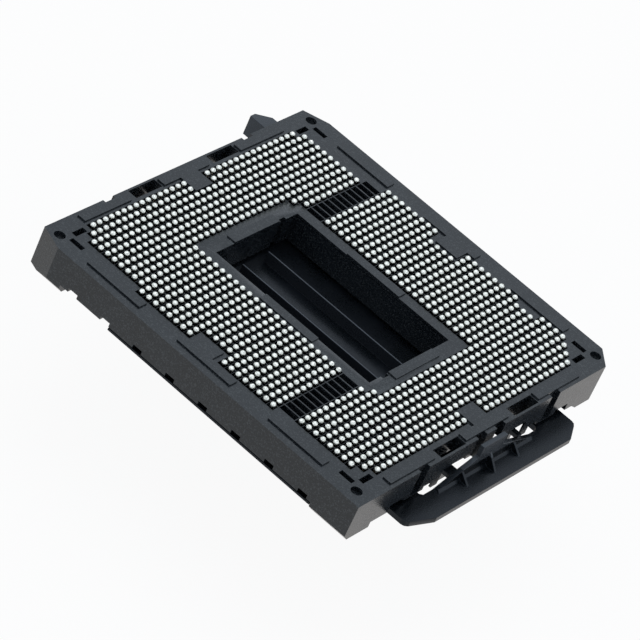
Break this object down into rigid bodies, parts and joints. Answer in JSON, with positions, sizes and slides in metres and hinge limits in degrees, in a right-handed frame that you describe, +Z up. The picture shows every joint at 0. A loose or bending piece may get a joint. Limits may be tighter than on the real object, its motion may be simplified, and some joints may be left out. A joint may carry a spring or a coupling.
{
  "type": "cpu socket",
  "caption": "Land grid processor socket for surface mounting, solder side up: black housing with two L-shaped fields of solder balls round a central opening, and a clipped cap below.",
  "frame": {"origin": "centre of the housing on the plane of its four corner feet", "axes": "+Z up out of the solder side, +X towards the cap's handle, +Y towards the key chamfer's side"},
  "size_m": [0.0483, 0.0424, 0.0052],
  "materials": {
    "housing_plastic": "glass-filled moulding compound, dark slate grey, fine satin",
    "cap_plastic": "black moulding compound, satin",
    "contact_metal": "bright tin-silver solder ball on a gold-plated copper alloy contact"
  },
  "bodies": {
    "socket": {"housing": "housing_plastic", "contacts_a_01": "contact_metal", "contacts_a_02": "contact_metal", "contacts_a_03": "contact_metal", "contacts_a_04": "contact_metal", "contacts_a_05": "contact_metal", "contacts_a_06": "contact_metal", "contacts_a_07": "contact_metal", "contacts_a_08": "contact_metal", "contacts_a_09": "contact_metal", "contacts_a_10": "contact_metal", "contacts_a_11": "contact_metal", "contacts_a_12": "contact_metal", "contacts_a_13": "contact_metal", "contacts_a_14": "contact_metal", "contacts_a_15": "contact_metal", "contacts_b_01": "contact_metal", "contacts_b_02": "contact_metal", "contacts_b_03": "contact_metal", "contacts_b_04": "contact_metal", "contacts_b_05": "contact_metal", "contacts_b_06": "contact_metal", "contacts_b_07": "contact_metal", "contacts_b_08": "contact_metal", "contacts_b_09": "contact_metal", "contacts_b_10": "contact_metal", "contacts_b_11": "contact_metal", "contacts_b_12": "contact_metal", "contacts_b_13": "contact_metal", "contacts_b_14": "contact_metal", "contacts_b_15": "contact_metal"},
    "cap": {"pick_and_place_cap": "cap_plastic"}
  },
  "joints": [
    {"name": "cap_pull", "type": "slide", "parent": "socket", "child": "cap", "axis": [0, 0, -1], "range_m": [0, 0.015]}
  ]
}
